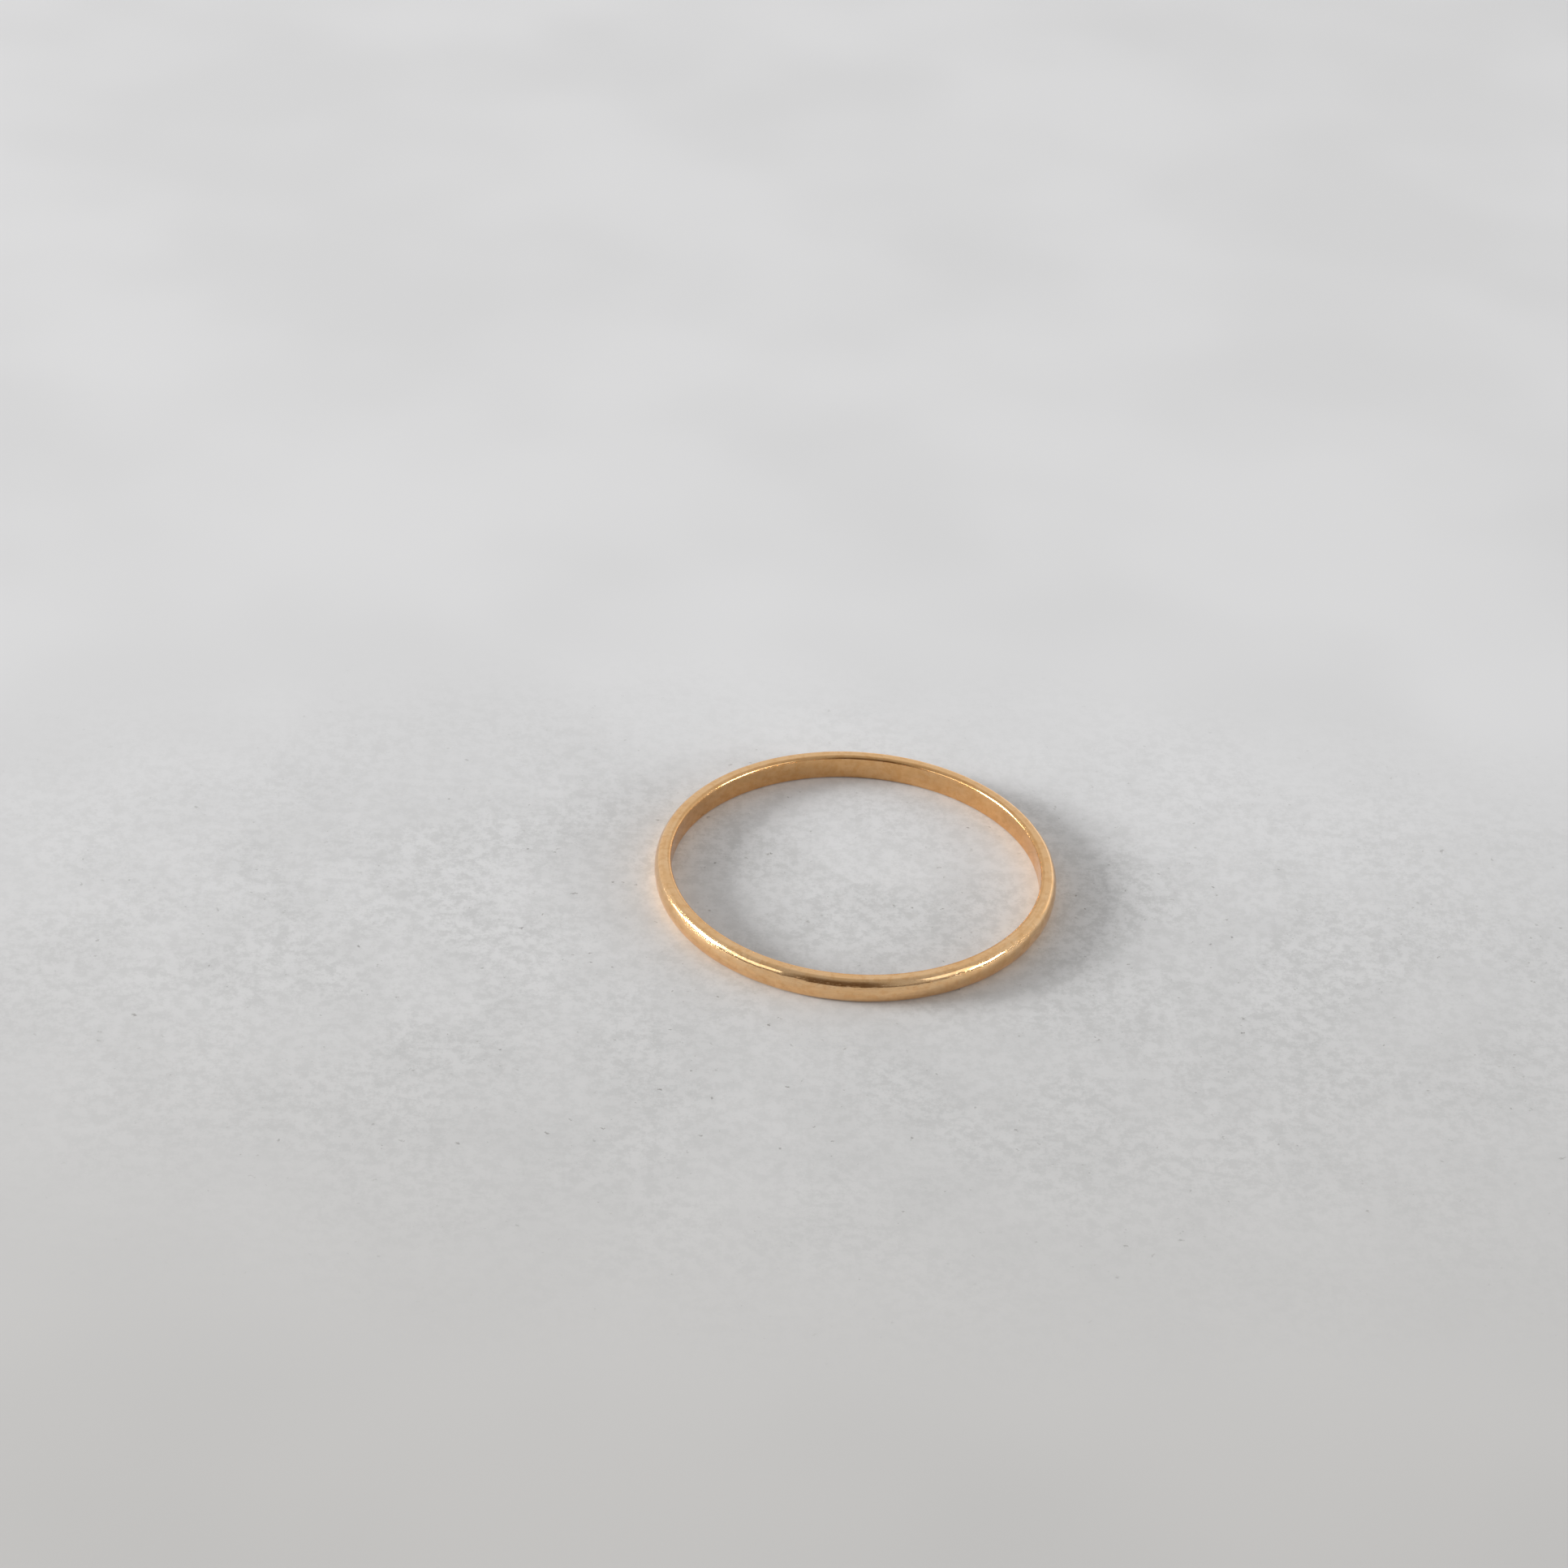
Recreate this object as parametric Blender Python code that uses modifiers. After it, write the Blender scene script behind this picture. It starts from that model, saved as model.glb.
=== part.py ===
# A plain stackable finger ring: one band of D-shaped gold wire, bent round and soldered into one solid.
# Metres, +Z up. The ring lies on its side: the finger hole runs along Z, the lower side face rests
# on z = 0, and the origin is the middle of the circle that it rests on.

import math

import bpy

# Driving dimensions.
FINGER_HOLE_DIAMETER = 0.0173
WALL_THICKNESS = 0.00077  # from the inner wall to the crown of the outer face
BAND_WIDTH = 0.00125  # along the finger, from one side face to the other
DOME_DEPTH = 0.00034  # how far the crown stands out from the edge of the side faces
INNER_EDGE_RADIUS = 0.00017  # rounding where the side faces meet the inner wall

# How finely the curves are cut.
TURN_STEPS = 128
DOME_STEPS = 14
INNER_EDGE_STEPS = 3
WELD_DISTANCE = 0.000001

# The finish: polished yellow gold with a slight rose tint.
GOLD_COLOUR = (0.83, 0.56, 0.31, 1.0)
GOLD_ROUGHNESS = 0.18

COLLECTION_NAME = "stackable_ring"
BAND_NAME = "ring_band"


def clear_scene():
    for old in list(bpy.data.objects):
        bpy.data.objects.remove(old, do_unlink=True)


def ellipse_arc(centre, half_depth, half_height, start, end, steps):
    """Points (radius, height) from one angle to the other; 0 points outwards and 90 degrees up."""
    points = []
    for step in range(steps + 1):
        angle = math.radians(start + (end - start) * step / steps)
        points.append((centre[0] + half_depth * math.cos(angle), centre[1] + half_height * math.sin(angle)))
    return points


def band_section():
    """The wire's closed outline as (radius, height): down the domed face, then up the inner wall."""
    inner_radius = FINGER_HOLE_DIAMETER / 2
    outer_radius = inner_radius + WALL_THICKNESS
    half_width = BAND_WIDTH / 2
    dome_edge = outer_radius - DOME_DEPTH
    # the rounding leaves half of the flat side face, however thin the wall or narrow the band is
    edge_radius = min(INNER_EDGE_RADIUS, (dome_edge - inner_radius) / 2, half_width / 2)
    edge_centre = inner_radius + edge_radius
    low, high = edge_radius, BAND_WIDTH - edge_radius

    outline = ellipse_arc((dome_edge, half_width), DOME_DEPTH, half_width, 90, -90, DOME_STEPS)
    outline += ellipse_arc((edge_centre, low), edge_radius, edge_radius, 270, 180, INNER_EDGE_STEPS)
    outline += ellipse_arc((edge_centre, high), edge_radius, edge_radius, 180, 90, INNER_EDGE_STEPS)
    return outline


def gold_material():
    gold = bpy.data.materials.new("polished_gold")
    gold.use_nodes = True
    shader = gold.node_tree.nodes["Principled BSDF"]
    shader.inputs["Base Color"].default_value = GOLD_COLOUR
    shader.inputs["Metallic"].default_value = 1.0
    shader.inputs["Roughness"].default_value = GOLD_ROUGHNESS
    return gold


def turned_band(outline, collection):
    """The outline stands on the XZ plane, and a Screw modifier turns it once round Z."""
    corners = [(radius, 0.0, height) for radius, height in outline]
    edges = [(corner, (corner + 1) % len(corners)) for corner in range(len(corners))]
    mesh = bpy.data.meshes.new(BAND_NAME)
    mesh.from_pydata(corners, edges, [])
    mesh.materials.append(gold_material())

    band = bpy.data.objects.new(BAND_NAME, mesh)
    collection.objects.link(band)
    turn = band.modifiers.new("turn", "SCREW")
    turn.axis = "Z"
    turn.angle = 2 * math.pi
    turn.steps = TURN_STEPS
    turn.render_steps = TURN_STEPS
    turn.use_merge_vertices = True
    turn.merge_threshold = WELD_DISTANCE
    turn.use_smooth_shade = True
    return band


def build():
    clear_scene()
    collection = bpy.data.collections.new(COLLECTION_NAME)
    bpy.context.scene.collection.children.link(collection)
    turned_band(band_section(), collection)


build()
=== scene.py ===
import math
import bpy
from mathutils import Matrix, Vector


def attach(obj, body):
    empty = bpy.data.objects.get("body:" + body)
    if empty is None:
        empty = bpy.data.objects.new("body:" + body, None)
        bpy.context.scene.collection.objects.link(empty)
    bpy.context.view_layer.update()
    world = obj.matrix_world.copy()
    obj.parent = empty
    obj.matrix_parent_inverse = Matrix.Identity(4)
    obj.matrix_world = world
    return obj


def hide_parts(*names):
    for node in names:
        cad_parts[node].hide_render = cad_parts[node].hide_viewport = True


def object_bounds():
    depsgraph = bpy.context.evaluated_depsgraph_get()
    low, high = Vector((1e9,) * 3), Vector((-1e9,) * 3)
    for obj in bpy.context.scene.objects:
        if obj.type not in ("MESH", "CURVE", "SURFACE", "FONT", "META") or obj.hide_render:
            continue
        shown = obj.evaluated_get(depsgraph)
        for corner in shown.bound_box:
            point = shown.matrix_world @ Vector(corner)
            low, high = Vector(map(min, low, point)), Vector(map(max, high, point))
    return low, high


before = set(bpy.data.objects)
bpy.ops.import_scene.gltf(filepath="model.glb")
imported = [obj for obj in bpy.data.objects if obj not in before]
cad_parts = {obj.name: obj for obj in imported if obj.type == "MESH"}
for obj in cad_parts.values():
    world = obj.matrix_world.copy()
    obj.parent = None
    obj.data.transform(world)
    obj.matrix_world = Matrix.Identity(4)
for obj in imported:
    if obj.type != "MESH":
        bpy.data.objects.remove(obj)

# A plain gold stacking ring that rests on its side on a pale stone floor, in soft daylight from both sides.
# Metres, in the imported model's frame: +Z is the axis of the finger hole and z = 0 is the floor.

from types import SimpleNamespace

import bpy
import numpy as np
from mathutils import Matrix, Vector

cadLow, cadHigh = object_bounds()
millimetre = 0.001
micrometre = 0.000001


# A node's output, with arithmetic: each operator adds the Math node that it stands for.
class Wire:
    def __init__(self, graph, socket):
        self.graph = graph
        self.socket = socket

    # another output of the same node
    def out(self, name):
        return Wire(self.graph, self.socket.node.outputs[name])

    def __add__(self, other):
        return self.graph.maths("ADD", self, other)

    def __radd__(self, other):
        return self.graph.maths("ADD", other, self)

    def __sub__(self, other):
        return self.graph.maths("SUBTRACT", self, other)

    def __rsub__(self, other):
        return self.graph.maths("SUBTRACT", other, self)

    def __mul__(self, other):
        return self.graph.maths("MULTIPLY", self, other)

    def __rmul__(self, other):
        return self.graph.maths("MULTIPLY", other, self)

    def __truediv__(self, other):
        return self.graph.maths("DIVIDE", self, other)

    def __rtruediv__(self, other):
        return self.graph.maths("DIVIDE", other, self)


# A node tree that is emptied first and then filled by one method.
class Graph:
    def __init__(self, owner):
        owner.use_nodes = True
        self.tree = owner.node_tree
        self.tree.nodes.clear()

    def node(self, kind, settings=None, sockets=None, output=0):
        made = self.tree.nodes.new(kind)
        for name, value in (settings or {}).items():
            setattr(made, name, value)
        for name, value in (sockets or {}).items():
            if isinstance(value, Wire):
                self.tree.links.new(value.socket, made.inputs[name])
            else:
                made.inputs[name].default_value = value
        return Wire(self, made.outputs[output]) if made.outputs else made

    def maths(self, operation, *values):
        return self.node("ShaderNodeMath", {"operation": operation}, dict(enumerate(values)))

    def length(self, x, y):
        return self.maths("SQRT", x * x + y * y)

    # 0 up to low, 1 from high on, and a smooth step between them (low may be the larger one)
    def step(self, value, low, high):
        sockets = {"Value": value, "From Min": low, "From Max": high}
        return self.node("ShaderNodeMapRange", {"interpolation_type": "SMOOTHSTEP"}, sockets)

    # sockets 6 and 7 are the two colours of a Mix node, and output 2 is its colour
    def mix(self, share, first, second):
        return self.node("ShaderNodeMix", {"data_type": "RGBA"}, {0: share, 6: first, 7: second}, 2)

    def vector(self, x, y, z):
        return self.node("ShaderNodeCombineXYZ", None, {"X": x, "Y": y, "Z": z})

    # x, y and z of a point or direction
    def coordinates(self, vector):
        split = self.node("ShaderNodeSeparateXYZ", None, {0: vector})
        return split, split.out("Y"), split.out("Z")

    def noise(self, point, scale, detail, roughness):
        sockets = {"Vector": point, "Scale": scale, "Detail": detail, "Roughness": roughness}
        return self.node("ShaderNodeTexNoise", None, sockets)


# The ring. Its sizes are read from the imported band, so it fills the same space.
bandWear = {
    "turnSteps": 1024,
    "domeSteps": 40,
    "sideSteps": 6,
    "innerEdgeSteps": 8,
    "wallSteps": 12,
    "undulation": 2.5 * micrometre,  # unevenness of hand polishing
    "flatFocus": 8,  # the higher, the narrower the flats are across the section
    "seamTurn": 22.0,  # degrees round the ring, 0 on the right and 90 at the back
    "seamDepth": 5 * micrometre,
    "seamHalfWidth": 0.035 * millimetre,
    "seamSway": 0.02 * millimetre,
    "seamSways": 3,  # round the section
    "filedDepth": 9 * micrometre,  # the joint was filed flush, which left the band a little thinner there
    "filedHalfLength": 0.9 * millimetre,
    "dings": 110,  # shallow marks of wear all over, besides the knocks listed below
    "dingSeed": 5,
    "dingRadius": (0.05, 0.11),  # millimetres
    "dingDepth": (0.6, 3.0),  # micrometres
}

# The waves of the polishing: periods round the ring, periods round the section, phase and share.
polishWaves = [
    {"round": 7, "across": 0, "phase": 1.1, "share": 1.0},
    {"round": 11, "across": 2, "phase": 0.4, "share": 1.0},
    {"round": 17, "across": -3, "phase": 2.3, "share": 1.0},
    {"round": 29, "across": 5, "phase": 5.1, "share": 0.7},
    {"round": 43, "across": -4, "phase": 0.9, "share": 0.5},
]

# Flats that bending left on the outer face: degrees round the ring, and length in millimetres.
bendFlats = [
    {"turn": 244.5, "length": 1.15},
    {"turn": 252.0, "length": 1.25},
    {"turn": 300.0, "length": 1.0},
    {"turn": 315.0, "length": 1.1},
    {"turn": 331.0, "length": 1.2},
    {"turn": 6.0, "length": 1.3},
    {"turn": 75.0, "length": 1.1},
    {"turn": 118.0, "length": 1.3},
    {"turn": 187.0, "length": 1.0},
]

# Small knocks: degrees round the ring, degrees round the section (0 at the crown, 90 where the upper
# side face begins), radius in millimetres and depth in micrometres.
knocks = [
    {"turn": 203.0, "section": 62, "radius": 0.070, "depth": 10},
    {"turn": 206.5, "section": 78, "radius": 0.060, "depth": 11},
    {"turn": 211.5, "section": 84, "radius": 0.060, "depth": 12},
    {"turn": 214.5, "section": 66, "radius": 0.050, "depth": 8},
    {"turn": 219.5, "section": 86, "radius": 0.060, "depth": 12},
    {"turn": 235.0, "section": 70, "radius": 0.060, "depth": 14},
    {"turn": 237.2, "section": 64, "radius": 0.050, "depth": 12},
    {"turn": 240.5, "section": 74, "radius": 0.045, "depth": 7},
    {"turn": 284.0, "section": 20, "radius": 0.050, "depth": 5},
    {"turn": 309.0, "section": 58, "radius": 0.050, "depth": 5},
    {"turn": 347.0, "section": 40, "radius": 0.060, "depth": 6},
    {"turn": 58.0, "section": 35, "radius": 0.060, "depth": 6},
    {"turn": 101.0, "section": 62, "radius": 0.050, "depth": 7},
    {"turn": 133.0, "section": -30, "radius": 0.060, "depth": 6},
    {"turn": 160.0, "section": 15, "radius": 0.055, "depth": 5},
    {"turn": 263.0, "section": -48, "radius": 0.050, "depth": 6},
    {"turn": 24.5, "section": 76, "radius": 0.050, "depth": 7},
]


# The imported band's inner radius, edge of the dome, crown radius, rounding of the inner edges and width.
# The flat of its upper side face runs from the end of the inner rounding to the edge of the dome.
def bandSizes():
    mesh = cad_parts["ring_band"].data
    points = np.empty(len(mesh.vertices) * 3, np.float32)
    mesh.vertices.foreach_get("co", points)
    points = points.reshape(-1, 3).astype(float)
    radius = np.hypot(points[:, 0], points[:, 1])
    top = radius[points[:, 2] > points[:, 2].max() - micrometre]
    return SimpleNamespace(inner=radius.min(), domeEdge=top.max(), crown=radius.max(),
                           edge=top.min() - radius.min(), width=float(points[:, 2].max()))


# An arc of an ellipse: centre plus (depth times cosine, height times sine) from one angle to another,
# with the outward normal of each point, which is (cosine over depth, sine over height) made one long.
def arc(centre, depth, height, start, end, steps):
    angle = np.radians(np.linspace(start, end, steps, endpoint=False))
    radius = centre[0] + depth * np.cos(angle)
    level = centre[1] + height * np.sin(angle)
    normal = np.stack([np.cos(angle) / depth, np.sin(angle) / height], 1)
    normal /= np.linalg.norm(normal, axis=1, keepdims=True)
    return np.stack([radius, level], 1), normal


# A straight stretch: points spread evenly from start to end, all with one normal.
def stretch(start, end, normal, steps):
    share = np.linspace(0, 1, steps, endpoint=False)[:, None]
    points = np.array(start) + share * (np.array(end) - np.array(start))
    return points, np.tile(normal, (steps, 1)).astype(float)


# The closed section of the wire as (radius, height) with normals: down the dome, in along the lower side
# face, up the inner wall and out along the upper side face, with rounded inner edges.
def bandSection(sizes):
    inner, domeEdge, edge, width = sizes.inner, sizes.domeEdge, sizes.edge, sizes.width
    middle = width / 2
    centre = inner + edge
    runs = [
        arc((domeEdge, middle), sizes.crown - domeEdge, middle, 90, -90, bandWear["domeSteps"]),
        stretch((domeEdge, 0), (centre, 0), (0, -1), bandWear["sideSteps"]),
        arc((centre, edge), edge, edge, 270, 180, bandWear["innerEdgeSteps"]),
        stretch((inner, edge), (inner, width - edge), (-1, 0), bandWear["wallSteps"]),
        arc((centre, width - edge), edge, edge, 180, 90, bandWear["innerEdgeSteps"]),
        stretch((centre, width), (domeEdge, width), (0, 1), bandWear["sideSteps"]),
    ]
    return np.concatenate([run[0] for run in runs]), np.concatenate([run[1] for run in runs])


# The angle of each turn from a place given in degrees, from minus half a turn to half a turn.
def angleFrom(degrees, turns):
    return (turns - math.radians(degrees) + math.pi) % (2 * math.pi) - math.pi


# Depth in metres of the flats: inside a flat's half angle the surface is a chord, so the depth is the
# crown radius times one minus cos(half) / cos(offset), and it is nothing outside.
def flatDepth(turns, crown):
    depth = np.zeros_like(turns)
    for flat in bendFlats:
        half = flat["length"] * millimetre / crown / 2
        offset = angleFrom(flat["turn"], turns)
        inside = np.abs(offset) < half
        depth += np.where(inside, crown * (1 - math.cos(half) / np.cos(np.clip(offset, -half, half))), 0)
    return depth


# Unevenness from 0 to 1: a sum of sines with whole numbers of periods both ways, so that its ends meet.
def unevenness(turns, across):
    waves = np.zeros_like(turns)
    for wave in polishWaves:
        waves += wave["share"] * np.sin(wave["round"] * turns + wave["across"] * across + wave["phase"])
    return 0.5 + waves / (2 * sum(wave["share"] for wave in polishWaves))


# Depth in metres of the solder seam, a thin line that sways a little, and of the filed stretch round it:
# each is its depth times exp(-(distance / half size) squared).
def seamDepth(turns, across, crown):
    sway = bandWear["seamSway"] * np.sin(bandWear["seamSways"] * across)
    distance = angleFrom(bandWear["seamTurn"], turns) * crown + sway
    line = bandWear["seamDepth"] * np.exp(-(distance / bandWear["seamHalfWidth"]) ** 2)
    return line + bandWear["filedDepth"] * np.exp(-(distance / bandWear["filedHalfLength"]) ** 2)


# Depth in metres of a round dent at each point: its depth times exp(-(distance / radius) squared).
def dent(surface, spot, radius, depth):
    return depth * np.exp(-((surface - spot) ** 2).sum(-1) / radius ** 2)


# Depth in metres of the knocks, each at its place on the dome, and of dings at random points.
def dentDepth(surface, sizes):
    depth = np.zeros(surface.shape[:2])
    for knock in knocks:
        place = math.radians(knock["turn"])
        angle = math.radians(knock["section"])
        radius = sizes.domeEdge + (sizes.crown - sizes.domeEdge) * math.cos(angle)
        level = sizes.width / 2 * (1 + math.sin(angle))
        spot = np.array([radius * math.cos(place), radius * math.sin(place), level])
        depth += dent(surface, spot, knock["radius"] * millimetre, knock["depth"] * micrometre)

    chance = np.random.default_rng(bandWear["dingSeed"])
    for ding in range(bandWear["dings"]):
        spot = surface[chance.integers(surface.shape[0]), chance.integers(surface.shape[1])]
        radius = chance.uniform(*bandWear["dingRadius"]) * millimetre
        depth += dent(surface, spot, radius, chance.uniform(*bandWear["dingDepth"]) * micrometre)
    return depth


# The band as a function of two parameters, the turn and the place on the section. Each point is the
# section's point carried round Z, pushed inwards along its normal by the wear at that place.
def bandSurface(sizes):
    section, normal = bandSection(sizes)
    turn = np.arange(bandWear["turnSteps"]) * 2 * math.pi / bandWear["turnSteps"]
    turns, places = np.meshgrid(turn, np.arange(len(section)), indexing="ij")
    across = places * 2 * math.pi / len(section)
    outward = np.stack([np.cos(turns), np.sin(turns), np.zeros_like(turns)], -1)
    upward = np.array([0.0, 0.0, 1.0])
    surface = section[places, 0][..., None] * outward + section[places, 1][..., None] * upward
    normals = normal[places, 0][..., None] * outward + normal[places, 1][..., None] * upward

    facingOut = np.clip(normal[places, 0], 0, 1) ** bandWear["flatFocus"]
    depth = bandWear["undulation"] * unevenness(turns, across)
    depth += facingOut * flatDepth(turns, sizes.crown)
    depth += seamDepth(turns, across, sizes.crown)
    depth += dentDepth(surface, sizes)
    return surface - depth[..., None] * normals


# Quads between neighbouring rows and columns of a grid. Every row closes to a loop, and the last row joins
# the first one too where there are as many strips as rows.
def gridFaces(rows, columns, strips):
    row, column = np.meshgrid(np.arange(strips), np.arange(columns), indexing="ij")
    nextRow = (row + 1) % rows
    nextColumn = (column + 1) % columns
    corners = [row * columns + column, row * columns + nextColumn, nextRow * columns + nextColumn,
               nextRow * columns + column]
    return np.stack(corners, -1).reshape(-1, 4)


def newObject(name, data):
    made = bpy.data.objects.new(name, data)
    bpy.context.scene.collection.objects.link(made)
    return made


def meshObject(name, points, faces, material):
    mesh = bpy.data.meshes.new(name)
    mesh.from_pydata(points.reshape(-1, 3), [], faces)
    mesh.materials.append(material)
    return newObject(name, mesh)


goldFinish = {
    "base": (0.91, 0.560, 0.270, 1),
    "pale": (0.95, 0.66, 0.39, 1),
    "deep": (0.80, 0.45, 0.19, 1),
    # darker colour for the pits, and for the inner wall, where it is partly tarnish and partly painted
    # shade
    "tarnishAndPaintedShade": (0.69, 0.37, 0.135, 1),
    "roughness": 0.055,
    "lineSpacing": 0.085 * millimetre,  # polishing lines, across their run
    "lineShare": 5.0,  # how often the lines change round the ring
    "wallSpan": (1.3, 0.8),  # where the duller, darker inner wall begins and is full, in roundings of the inner edge; its darkness is partly painted shade
    "pitSpan": (0.52, 0.62),  # pits lie only where the mottling is above this
    "dullSpan": (0.25, 0.75),  # the wall is dullest where the mottling is high
    "dullLeast": 0.6,  # and this share of that where it is low
    "relief": 0.8 * micrometre,
}

# What each pattern of the gold does. Its noise has a scale in cells per metre, and detail gives the detail
# and the roughness of that noise. The pattern sets in over the span. Colour is its share of another colour,
# dulls is what it adds to the gold's roughness, and height is in units of the relief.
goldPatterns = SimpleNamespace(
    drift={"scale": 650.0, "detail": (2.0, 0.5), "span": (0.40, 0.65), "colour": 0.4},
    lining={"detail": (3.0, 0.6), "span": (0.42, 0.66), "colour": 0.35, "dulls": 0.08, "height": 1.8},
    mottle={"scale": 3000.0, "detail": (3.0, 0.6), "span": (0.46, 0.66), "colour": 0.5, "dulls": 0.12},
    grain={"scale": 9000.0, "detail": (3.0, 0.6), "height": 2.0},
    scratch={"scale": (1100.0, 26000.0, 26000.0), "detail": (1.0, 0.5), "span": (0.66, 0.74),
             "dulls": 0.10, "height": -1.5},
    # a pit's span is in cells from its middle
    pit={"scale": 5200.0, "span": (0.17, 0.06), "colour": 0.3, "dulls": 0.15, "height": -2.0},
    # the inner wall's share of the darker colour, partly tarnish and partly painted shade
    wall={"colour": 0.72, "dulls": 0.10},
)

# Families of short scratches: how each is turned, and where its noise is read.
scratchFamilies = [
    {"turn": (0.4, 0.7, 0.9), "place": 1.0},
    {"turn": (1.3, 0.2, 2.1), "place": 4.0},
    {"turn": (2.2, 1.4, 0.3), "place": 9.0},
    {"turn": (0.1, 2.3, 1.5), "place": 14.0},
]


# Scratches from 0 to 1: thin streaks of noise that is stretched along each family's direction.
def scratchMarks(graph, place):
    scratch = goldPatterns.scratch
    marks = None
    for family in scratchFamilies:
        at = family["place"]
        sockets = {"Vector": place, "Location": (at, at, at), "Rotation": family["turn"],
                   "Scale": scratch["scale"]}
        stretched = graph.node("ShaderNodeMapping", None, sockets)
        streak = graph.step(graph.noise(stretched, 1.0, *scratch["detail"]), *scratch["span"])
        marks = streak if marks is None else graph.maths("MAXIMUM", marks, streak)
    return marks


# Lines of polishing that run round the ring: the noise hardly changes along a line and fast across it.
def polishLines(graph, x, y, z, radius):
    share = goldFinish["lineShare"]
    lines = 1 / goldFinish["lineSpacing"]
    detail, roughness = goldPatterns.lining["detail"]
    run = graph.vector(x / radius * share, y / radius * share, z * lines)
    sockets = {"Vector": run, "W": radius * lines, "Scale": 1.0, "Detail": detail, "Roughness": roughness}
    return graph.node("ShaderNodeTexNoise", {"noise_dimensions": "4D"}, sockets)


# Polished gold: a colour that drifts a little, lines of polishing, finer grain, short scratches, tiny pits,
# and a duller inner wall whose darker colour is partly tarnish and partly painted shade.
def goldMaterial(sizes):
    material = bpy.data.materials.new("polished_gold")
    graph = Graph(material)
    place = graph.node("ShaderNodeTexCoord", output="Object")
    x, y, z = graph.coordinates(place)
    radius = graph.length(x, y)

    lining = polishLines(graph, x, y, z, radius)
    drift = graph.noise(place, goldPatterns.drift["scale"], *goldPatterns.drift["detail"])
    mottle = graph.noise(place, goldPatterns.mottle["scale"], *goldPatterns.mottle["detail"])
    grain = graph.noise(place, goldPatterns.grain["scale"], *goldPatterns.grain["detail"])
    scratches = scratchMarks(graph, place)
    cells = graph.node("ShaderNodeTexVoronoi", None, {"Vector": place, "Scale": goldPatterns.pit["scale"]})
    pits = graph.step(cells, *goldPatterns.pit["span"]) * graph.step(mottle, *goldFinish["pitSpan"])

    wallStart, wallFull = [sizes.inner + share * sizes.edge for share in goldFinish["wallSpan"]]
    least = goldFinish["dullLeast"]
    wall = graph.step(radius, wallStart, wallFull)
    wall = wall * (least + (1 - least) * graph.step(mottle, *goldFinish["dullSpan"]))

    paleDrift = graph.step(drift, *goldPatterns.drift["span"]) * goldPatterns.drift["colour"]
    paleLines = graph.step(lining, *goldPatterns.lining["span"]) * goldPatterns.lining["colour"]
    deepMottle = graph.step(mottle, *goldPatterns.mottle["span"]) * goldPatterns.mottle["colour"]
    colour = graph.mix(paleDrift, goldFinish["base"], goldFinish["pale"])
    colour = graph.mix(paleLines, colour, goldFinish["pale"])
    colour = graph.mix(deepMottle, colour, goldFinish["deep"])
    # painted shade: the inner wall's colour is darkened, partly as tarnish and partly standing in for the
    # darker reflections inside the ring; the pits are darkened as tarnish
    pitTarnishAndWallShade = wall * goldPatterns.wall["colour"] + pits * goldPatterns.pit["colour"]
    colour = graph.mix(pitTarnishAndWallShade, colour, goldFinish["tarnishAndPaintedShade"])

    roughness = goldFinish["roughness"] + (mottle - 0.5) * goldPatterns.mottle["dulls"]
    roughness = roughness + (lining - 0.5) * goldPatterns.lining["dulls"]
    roughness = roughness + scratches * goldPatterns.scratch["dulls"]
    roughness = roughness + pits * goldPatterns.pit["dulls"] + wall * goldPatterns.wall["dulls"]

    height = lining * goldPatterns.lining["height"] + grain * goldPatterns.grain["height"]
    height = height + scratches * goldPatterns.scratch["height"] + pits * goldPatterns.pit["height"]
    sockets = {"Strength": 1.0, "Distance": goldFinish["relief"], "Height": height}
    bump = graph.node("ShaderNodeBump", None, sockets)
    sockets = {"Base Color": colour, "Metallic": 1.0, "Roughness": roughness, "Normal": bump}
    surface = graph.node("ShaderNodeBsdfPrincipled", None, sockets)
    graph.node("ShaderNodeOutputMaterial", None, {"Surface": surface})
    return material


def buildBand():
    sizes = bandSizes()
    surface = bandSurface(sizes)
    rows, columns = surface.shape[:2]
    faces = gridFaces(rows, columns, rows).tolist()
    band = meshObject("gold_band", surface, faces, goldMaterial(sizes))
    band.data.shade_smooth()
    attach(band, "root")
    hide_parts("ring_band")
    print("band: %d faces, crown radius %.3f mm" % (len(band.data.polygons), sizes.crown / millimetre))


floorFinish = {
    "radius": 1.5,
    "rings": 24,
    "steps": 96,
    "behind": (0.66, 0.66, 0.665, 1),  # painted light: paler behind the ring than in front of it, for light that falls off towards the camera's side
    "front": (0.500, 0.492, 0.480, 1),
    "paintedFalloffSpan": (0.020, -0.055),  # where along y it starts to change, and where it has changed
    "shade": (0.40, 0.40, 0.395, 1),
    "speck": (0.17, 0.16, 0.145, 1),
    "grainFull": 0.0075,  # the grain is full up to here from its middle, towards the front and the back
    "grainReach": 0.030,  # and gone from here on
    "grainStretch": 2.2,  # how many times farther it reaches at the sides
    "grainCentre": -0.008,
    "roughness": 0.75,
    "gloss": 0.5,  # a slight sheen, which the lower part of the outer face mirrors
}


# What each pattern does: scale in cells per metre, detail and roughness of its noise, the span of the
# noise over which it sets in, and its share of colour.
floorPatterns = {
    "clouds": {"scale": 45.0, "detail": (2.0, 0.5), "span": (0.35, 0.65), "colour": 0.15},
    "areas": {"scale": 130.0, "detail": (2.0, 0.5), "span": (0.38, 0.62), "colour": 0.22},
    "patches": {"scale": 330.0, "detail": (3.0, 0.6), "span": (0.40, 0.62), "colour": 0.14},
    "grain": {"scale": 1500.0, "detail": (5.0, 0.8), "span": (0.42, 0.60), "colour": 0.26},
    "specks": {"scale": 2100.0, "detail": (3.0, 0.6), "span": (0.66, 0.73), "colour": 0.7},
}
speckedPatches = (0.44, 0.56)  # specks lie only where the noise of the patches is above this
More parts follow.
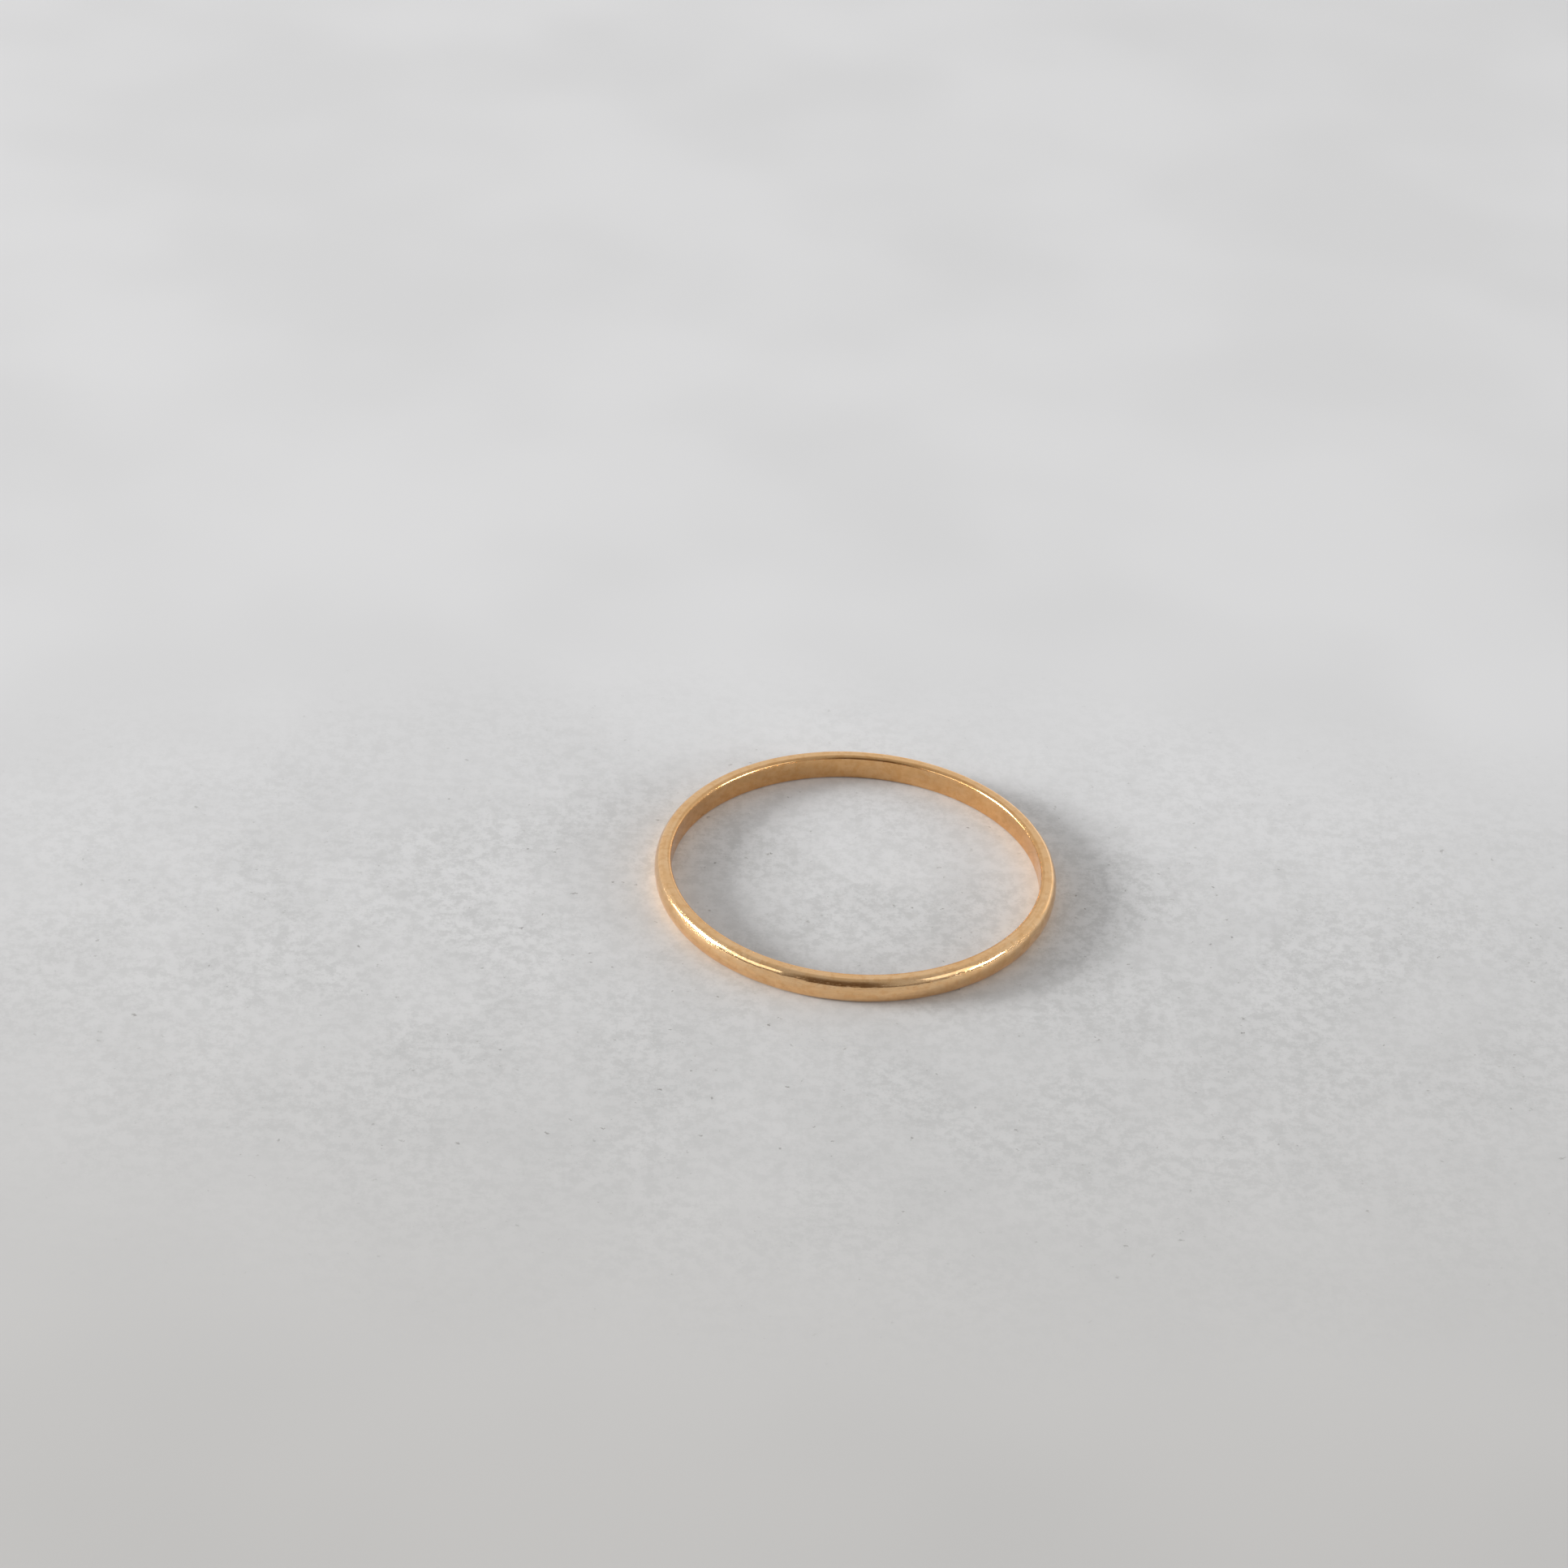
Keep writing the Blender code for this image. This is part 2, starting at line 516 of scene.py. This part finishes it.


# Pale stone with a slight sheen, its colour painted paler behind the ring and darker in front as painted
# light: faint clouds a few centimetres wide and, near the ring, fine grain that is stronger in some areas,
# and small dark specks.
def floorMaterial():
    material = bpy.data.materials.new("pale_stone")
    graph = Graph(material)
    place = graph.node("ShaderNodeTexCoord", output="Object")
    x, y = graph.coordinates(place)[:2]

    noises = {}
    shows = {}
    for name, pattern in floorPatterns.items():
        noises[name] = graph.noise(place, pattern["scale"], *pattern["detail"])
        shows[name] = graph.step(noises[name], *pattern["span"])

    aside = x / floorFinish["grainStretch"]
    ahead = y - floorFinish["grainCentre"]
    away = graph.length(aside, ahead)
    near = graph.step(away, floorFinish["grainReach"], floorFinish["grainFull"])
    # painted light: the floor's colour darkens from behind the ring to its front, standing in for light
    # that falls off towards the camera's side
    front = graph.step(y, *floorFinish["paintedFalloffSpan"])
    grainShare = floorPatterns["grain"]["colour"] + floorPatterns["areas"]["colour"] * shows["areas"]
    specks = shows["specks"] * graph.step(noises["patches"], *speckedPatches)

    shade = floorFinish["shade"]
    colour = graph.mix(front, floorFinish["behind"], floorFinish["front"])
    colour = graph.mix(shows["clouds"] * floorPatterns["clouds"]["colour"], colour, shade)
    colour = graph.mix(shows["patches"] * near * floorPatterns["patches"]["colour"], colour, shade)
    colour = graph.mix(shows["grain"] * near * grainShare, colour, shade)
    colour = graph.mix(specks * near * floorPatterns["specks"]["colour"], colour, floorFinish["speck"])
    sockets = {"Base Color": colour, "Roughness": floorFinish["roughness"],
               "Specular IOR Level": floorFinish["gloss"]}
    surface = graph.node("ShaderNodeBsdfPrincipled", None, sockets)
    graph.node("ShaderNodeOutputMaterial", None, {"Surface": surface})
    return material


# A flat disc: points at radius (share squared times the floor's radius) and angle, all at height 0. The
# order of each quad's corners is turned round, so that it faces up, and one polygon fills the middle.
def buildFloor():
    share = np.linspace(0, 1, floorFinish["rings"]) ** 2
    angle = np.arange(floorFinish["steps"]) * 2 * math.pi / floorFinish["steps"]
    radius, turned = np.meshgrid(share[1:] * floorFinish["radius"], angle, indexing="ij")
    points = np.stack([radius * np.cos(turned), radius * np.sin(turned), np.zeros_like(radius)], -1)
    rows, columns = radius.shape
    faces = gridFaces(rows, columns, rows - 1)[:, [0, 3, 2, 1]].tolist()
    faces.append(list(range(columns)))
    floor = meshObject("floor", points, faces, floorMaterial())
    print("floor: %.1f m across" % (2 * floorFinish["radius"]))


# Light from all round. Directions are degrees: azimuth 0 is right, 90 far, 180 left and -90 near.
studio = {
    "far": 0.73,  # the sky low on the far side, which the flat side face reflects
    "near": 0.43,
    "farSpan": (-0.6, 0.3),  # from near to far, as the sine of the direction's azimuth
    "highSpan": (95, 20),  # the far sky's extra light, gone overhead and full from this elevation down
    "horizonDim": 0.5,  # how much of the near sky's light is missing just above the floor
    "horizonSpan": (12, 3),
    "dim": (0.13, 0.10, 0.075, 1),  # the dim room on the camera's side, which the front shoulder reflects
    "dimAzimuth": -97.5,
    "dimSpan": (35, 15),  # degrees of azimuth either side of its middle
    "dimHighSpan": (78, 26),
    "backdrop": (0.66, 0.66, 0.66, 1),
    "leastLevel": 0.0001,  # keeps the divisions away from zero straight overhead
    "windowDistance": 1.6,
}

# Soft windows: half width and half height in degrees as the ring sees them, and how bright each part is.
windows = [
    {"name": "left_window", "azimuth": 180, "elevation": 17, "halfSize": (11, 7.5), "glow": 40.0},
    {"name": "left_low_window", "azimuth": 162, "elevation": 7, "halfSize": (6, 5), "glow": 4.0},
    {"name": "left_haze", "azimuth": -160, "elevation": 22, "halfSize": (27, 11), "glow": 1.15},
    {"name": "far_glow", "azimuth": 60, "elevation": 11, "halfSize": (28, 10), "glow": 0.3},
    {"name": "right_window", "azimuth": -16, "elevation": 14, "halfSize": (11, 4), "glow": 20.0},
    {"name": "right_haze", "azimuth": -34, "elevation": 28, "halfSize": (14, 12), "glow": 0.9},
]


# The sky is brightest low on the far side and falls off towards the camera's side, where a soft-edged
# patch is dimmer still. The camera itself sees a plain pale backdrop.
def buildWorld():
    world = bpy.data.worlds.new("studio")
    bpy.context.scene.world = world
    graph = Graph(world)
    direction = graph.node("ShaderNodeTexCoord", output="Generated")
    x, y, z = graph.coordinates(direction)
    level = graph.maths("MAXIMUM", graph.length(x, y), studio["leastLevel"])
    elevation = graph.maths("ARCTAN2", z, level) * math.degrees(1)
    farness = graph.step(y / level, *studio["farSpan"]) * graph.step(elevation, *studio["highSpan"])
    sky = farness * (studio["far"] - studio["near"]) + studio["near"]
    low = graph.step(elevation, *studio["horizonSpan"])
    sky = sky * (1 - low * (1 - farness) * studio["horizonDim"])

    turned = math.radians(studio["dimAzimuth"])
    ahead = x * math.cos(turned) + y * math.sin(turned)
    aside = y * math.cos(turned) - x * math.sin(turned)
    offset = graph.maths("ABSOLUTE", graph.maths("ARCTAN2", aside, ahead)) * math.degrees(1)
    dim = graph.step(offset, *studio["dimSpan"]) * graph.step(elevation, *studio["dimHighSpan"])
    light = graph.mix(dim, graph.vector(sky, sky, sky), studio["dim"])

    seen = graph.node("ShaderNodeLightPath", output="Is Camera Ray")
    colour = graph.mix(seen, light, studio["backdrop"])
    background = graph.node("ShaderNodeBackground", None, {"Color": colour})
    graph.node("ShaderNodeOutputWorld", None, {"Surface": background})
    print("world: sky from %.2f to %.2f" % (studio["near"], studio["far"]))


# Each window is an area light that faces the ring from its direction. Its power is pi times its glow times
# its area, so that its size can change and each part of it stays as bright.
def buildWindows():
    for window in windows:
        azimuth = math.radians(window["azimuth"])
        elevation = math.radians(window["elevation"])
        towards = Vector((math.cos(azimuth) * math.cos(elevation), math.sin(azimuth) * math.cos(elevation),
                          math.sin(elevation)))
        light = bpy.data.lights.new(window["name"], "AREA")
        light.shape = "RECTANGLE"
        halfWidth, halfHeight = window["halfSize"]
        light.size = 2 * studio["windowDistance"] * math.tan(math.radians(halfWidth))
        light.size_y = 2 * studio["windowDistance"] * math.tan(math.radians(halfHeight))
        light.energy = math.pi * window["glow"] * light.size * light.size_y
        made = newObject(window["name"], light)
        made.location = towards * studio["windowDistance"]
        made.rotation_euler = towards.to_track_quat("Z", "Y").to_euler()
    print("windows: %d area lights" % len(windows))


# The photograph's view, fitted to the ring's outline. The focal length and the place of the ring's middle
# are in pixels of the photograph's frame.
photoView = {
    "frame": 1932,
    "focal": 5500,
    "ringX": 1054.1,
    "ringY": 1074.7,
    "distanceInRadii": 22.187,
    "leanDegrees": 2.87,
    "elevationDegrees": 34.57,
    "sensorWidth": 36,  # millimetres
    "seesFrom": 0.005,
    "seesTo": 20,
}


# The ring's axes as the camera sees them (x right, y down, z ahead) make a turning matrix, whose rows are
# the camera's own axes in the ring's frame. The camera stands back along them from the ring's middle.
def buildCamera():
    lean = math.radians(photoView["leanDegrees"])
    raised = math.radians(photoView["elevationDegrees"])
    axisZ = Vector((math.sin(lean), -math.cos(lean) * math.cos(raised), -math.cos(lean) * math.sin(raised)))
    axisX = (Vector((1, 0, 0)) - axisZ.x * axisZ).normalized()
    axisY = axisZ.cross(axisX)
    turning = Matrix((axisX, axisY, axisZ)).transposed()
    distance = photoView["distanceInRadii"] * (cadHigh.x - cadLow.x) / 2
    middle = photoView["frame"] / 2
    toRing = Vector(((photoView["ringX"] - middle) / photoView["focal"] * distance,
                     (photoView["ringY"] - middle) / photoView["focal"] * distance, distance))
    stand = Vector((0, 0, cadHigh.z / 2)) - turning.transposed() @ toRing
    right, up, back = turning[0].copy(), -turning[1], -turning[2]
    camera = bpy.data.cameras.new("camera")
    camera.sensor_width = photoView["sensorWidth"]
    camera.lens = photoView["focal"] / photoView["frame"] * photoView["sensorWidth"]
    camera.clip_start = photoView["seesFrom"]
    camera.clip_end = photoView["seesTo"]
    made = newObject("camera", camera)
    made.matrix_world = Matrix.Translation(stand) @ Matrix((right, up, back)).transposed().to_4x4()
    bpy.context.scene.camera = made
    print("camera: lens %.1f mm, %.0f mm from the ring" % (camera.lens, distance / millimetre))


buildCamera()
buildBand()
buildFloor()
buildWorld()
buildWindows()
bpy.context.scene.view_settings.view_transform = "Standard"
